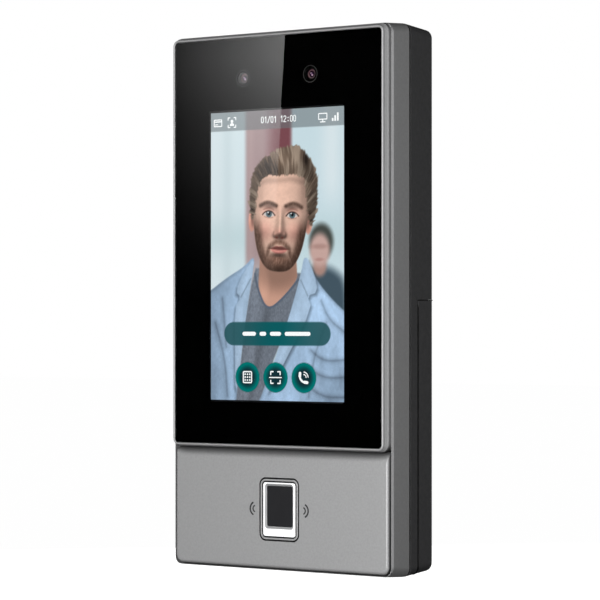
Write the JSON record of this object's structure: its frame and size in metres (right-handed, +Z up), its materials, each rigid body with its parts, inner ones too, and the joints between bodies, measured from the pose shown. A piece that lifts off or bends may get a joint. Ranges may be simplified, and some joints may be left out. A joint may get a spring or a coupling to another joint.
{
  "type": "fingerprint scanner terminal",
  "caption": "Slim wall-mounted access terminal with a glass front, colour display, cameras and a lit finger sensor in a recessed chin, hung on a hooked wall bracket.",
  "frame": {"origin": "centre of the wall screw pattern, on the wall plane", "axes": "+Z up, +Y into the wall, the front faces -Y, +X to the right seen from the front"},
  "size_m": [0.0888, 0.027, 0.1774],
  "materials": {
    "silver_housing": "satin metallic paint with fine grain",
    "black_housing": "fine spark-eroded texture",
    "front_glass": "polished, black print on the back",
    "black_foam": "matte foam",
    "seal_rubber": "matte",
    "display": "lit display",
    "backlight": "white diffuser",
    "sheet_steel": "bare sheet",
    "circuit_board": "green solder mask",
    "brass_part": "turned",
    "chip_black": "moulded",
    "flex_film": "amber film",
    "camera_black": "anodised black",
    "lens_glass": "coated glass",
    "led_dark": "tinted resin",
    "light_guide": "milky white",
    "sensor_dark": "satin glass window",
    "connector_pale": "moulded",
    "connector_green": "moulded",
    "socket_metal": "plated shield",
    "button_red": "moulded",
    "screw_steel": "plated"
  },
  "bodies": {
    "bracket": {"wall_bracket": "black_housing", "security_screw": "screw_steel"},
    "terminal": {"antenna_contacts": "brass_part", "board_chips": "chip_black", "board_screws": "screw_steel", "board_standoffs": "brass_part", "camera_barrel_left": "camera_black", "camera_barrel_right": "camera_black", "camera_board": "circuit_board", "camera_bracket": "chip_black", "camera_flex": "flex_film", "camera_lens_left": "lens_glass", "camera_lens_right": "lens_glass", "camera_screws": "screw_steel", "card_antenna": "flex_film", "cover_glass": "front_glass", "display_flex": "flex_film", "finger_board": "circuit_board", "finger_connector": "connector_pale", "finger_light_guide": "light_guide", "finger_ring": "silver_housing", "finger_screws": "screw_steel", "finger_sensor": "sensor_dark", "front_cover": "silver_housing", "glass_tape": "black_foam", "housing_seal": "seal_rubber", "ir_leds": "led_dark", "lcd_backlight": "backlight", "lcd_gasket": "black_foam", "lcd_panel": "display", "main_board": "circuit_board", "microphone": "socket_metal", "mid_plate": "sheet_steel", "network_socket": "socket_metal", "plate_screws": "screw_steel", "power_terminal": "connector_green", "processor_shield": "sheet_steel", "rear_screws": "screw_steel", "rear_shell": "black_housing", "reset_switch": "sheet_steel", "side_frame": "silver_housing", "speaker": "chip_black", "tamper_spring": "sheet_steel", "tamper_switch": "chip_black", "terminal_block": "connector_green"},
    "tamper": {"tamper_plunger": "connector_pale"},
    "reset": {"reset_button": "button_red"}
  },
  "joints": [
    {"name": "lift_off", "type": "slide", "parent": "bracket", "child": "terminal", "axis": [0, 0, 1], "range_m": [0, 0.006]},
    {"name": "tamper_press", "type": "slide", "parent": "terminal", "child": "tamper", "axis": [0, 1, 0], "range_m": [0, 0.0015], "stiffness_N_per_m": 80, "springref_m": 0.003, "deforming": ["tamper_spring"]},
    {"name": "reset_press", "type": "slide", "parent": "terminal", "child": "reset", "axis": [0, -1, 0], "range_m": [0, 0.0005], "stiffness_N_per_m": 60}
  ]
}
